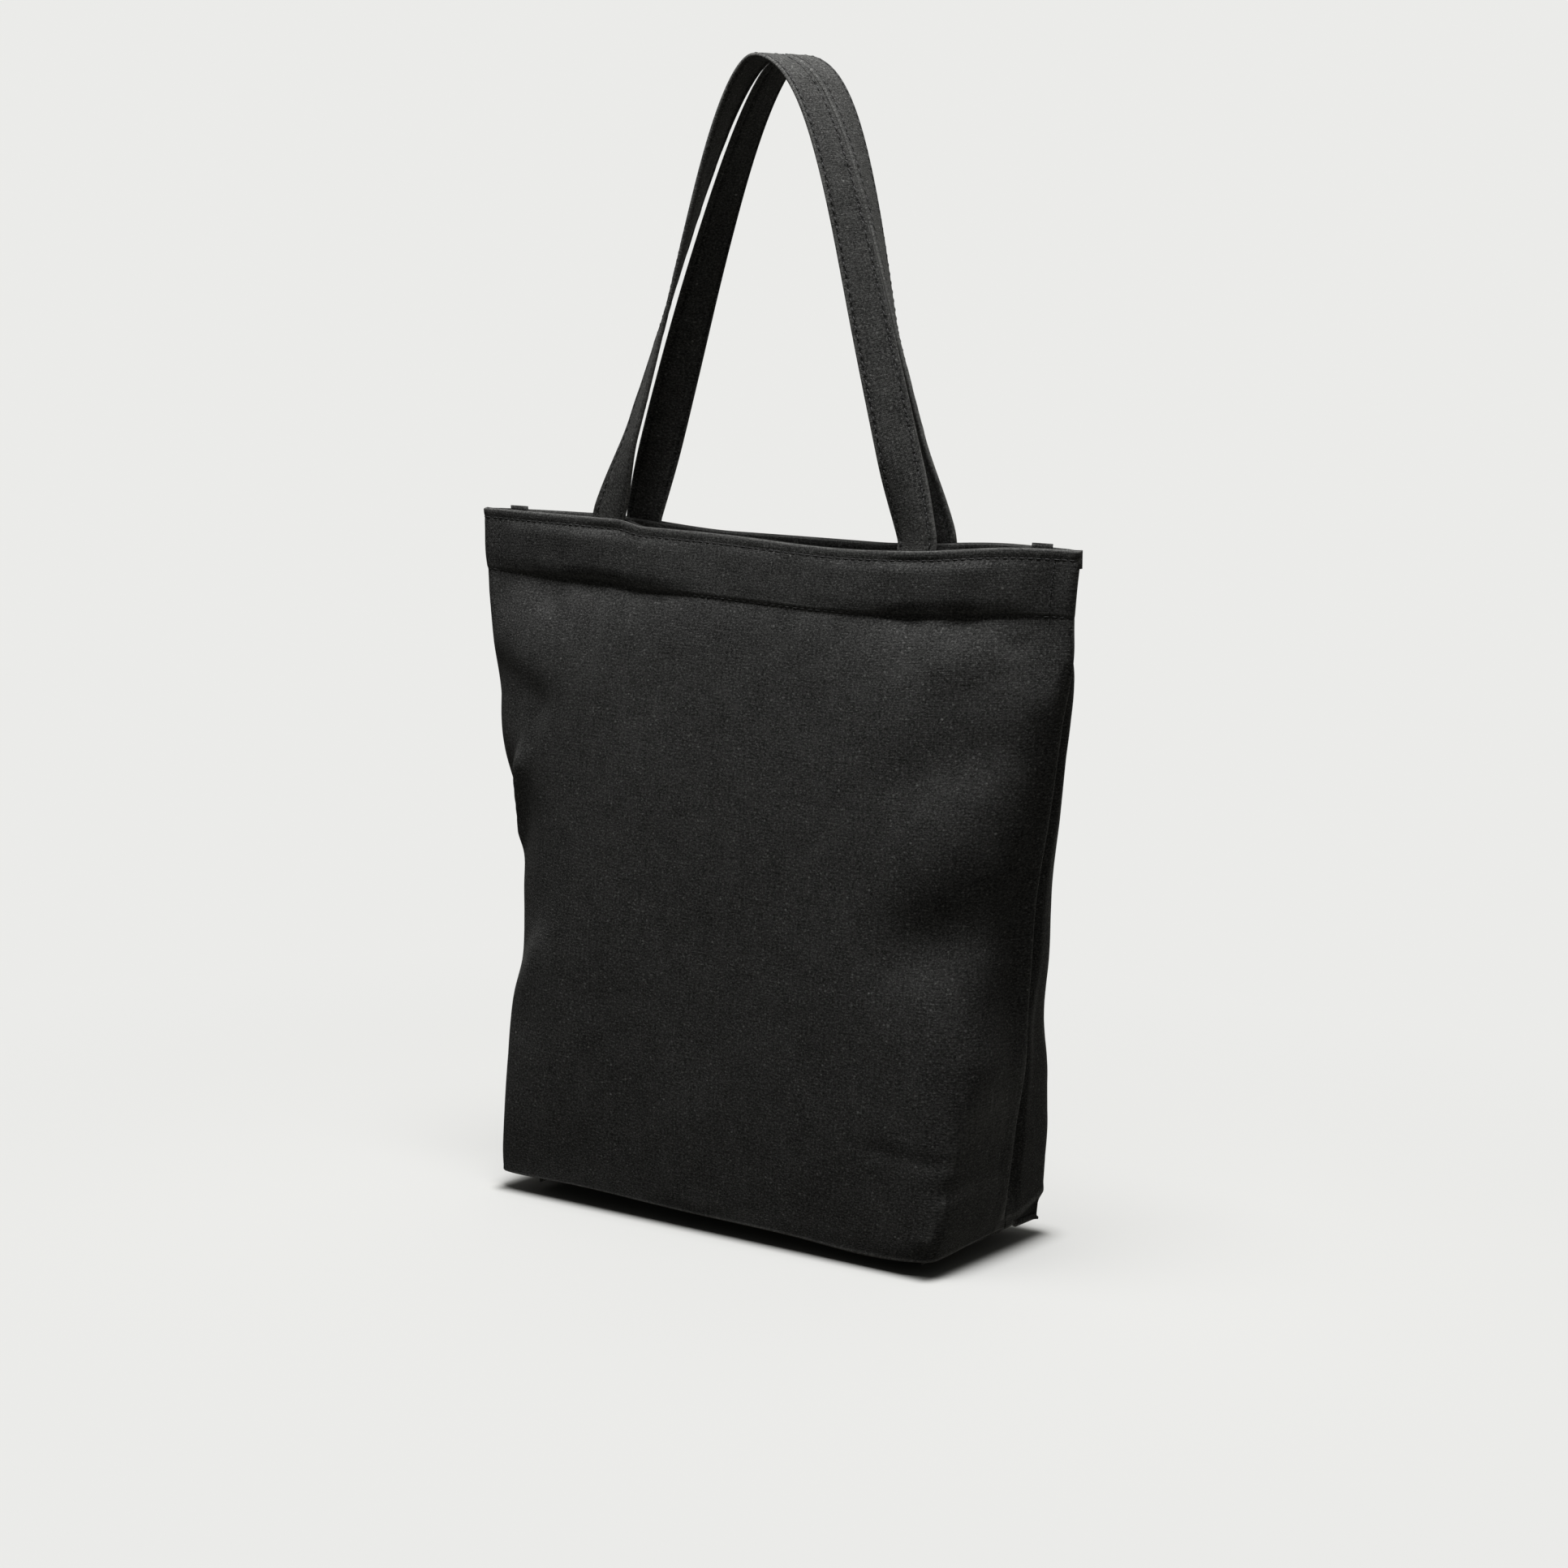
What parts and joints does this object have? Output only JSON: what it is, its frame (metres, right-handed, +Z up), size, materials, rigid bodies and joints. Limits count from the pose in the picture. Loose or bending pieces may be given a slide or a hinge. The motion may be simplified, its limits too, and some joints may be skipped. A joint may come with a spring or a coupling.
{
  "type": "canvas tote bag",
  "caption": "Soft open tote bag of washed black canvas with a boxed base, a faced mouth and a pair of twisted strap handles that fold down.",
  "frame": {"origin": "on the floor, under the middle of the base", "axes": "+Z up, +X to the right of someone facing the front, -Y to the front"},
  "size_m": [0.385, 0.105, 0.6064],
  "materials": {
    "canvas": "washed matt cotton canvas",
    "strap": "washed matt cotton canvas, folded and edge stitched",
    "thread": "matt sewing thread"
  },
  "bodies": {
    "bag": {"front_panel": "canvas", "back_panel": "canvas", "front_facing": "canvas", "back_facing": "canvas", "left_side_seam_allowance": "canvas", "right_side_seam_allowance": "canvas", "base_seam_allowance": "canvas", "left_corner_seam_allowance": "canvas", "right_corner_seam_allowance": "canvas", "front_left_handle_end": "strap", "front_right_handle_end": "strap", "back_left_handle_end": "strap", "back_right_handle_end": "strap", "rim_topstitch": "thread", "facing_stitch": "thread", "left_tack_stitch": "thread", "right_tack_stitch": "thread"},
    "front_handle": {"front_handle": "strap", "front_handle_outer_stitch": "thread", "front_handle_inner_stitch": "thread"},
    "back_handle": {"back_handle": "strap", "back_handle_outer_stitch": "thread", "back_handle_inner_stitch": "thread"}
  },
  "joints": [
    {"name": "front_handle_fold", "type": "hinge", "parent": "bag", "child": "front_handle", "pos_m": [0, -0.01117, 0.368], "axis": [1, 0, 0], "range_deg": [0, 146]},
    {"name": "back_handle_fold", "type": "hinge", "parent": "bag", "child": "back_handle", "pos_m": [0, 0.01117, 0.368], "axis": [-1, 0, 0], "range_deg": [0, 146]}
  ]
}
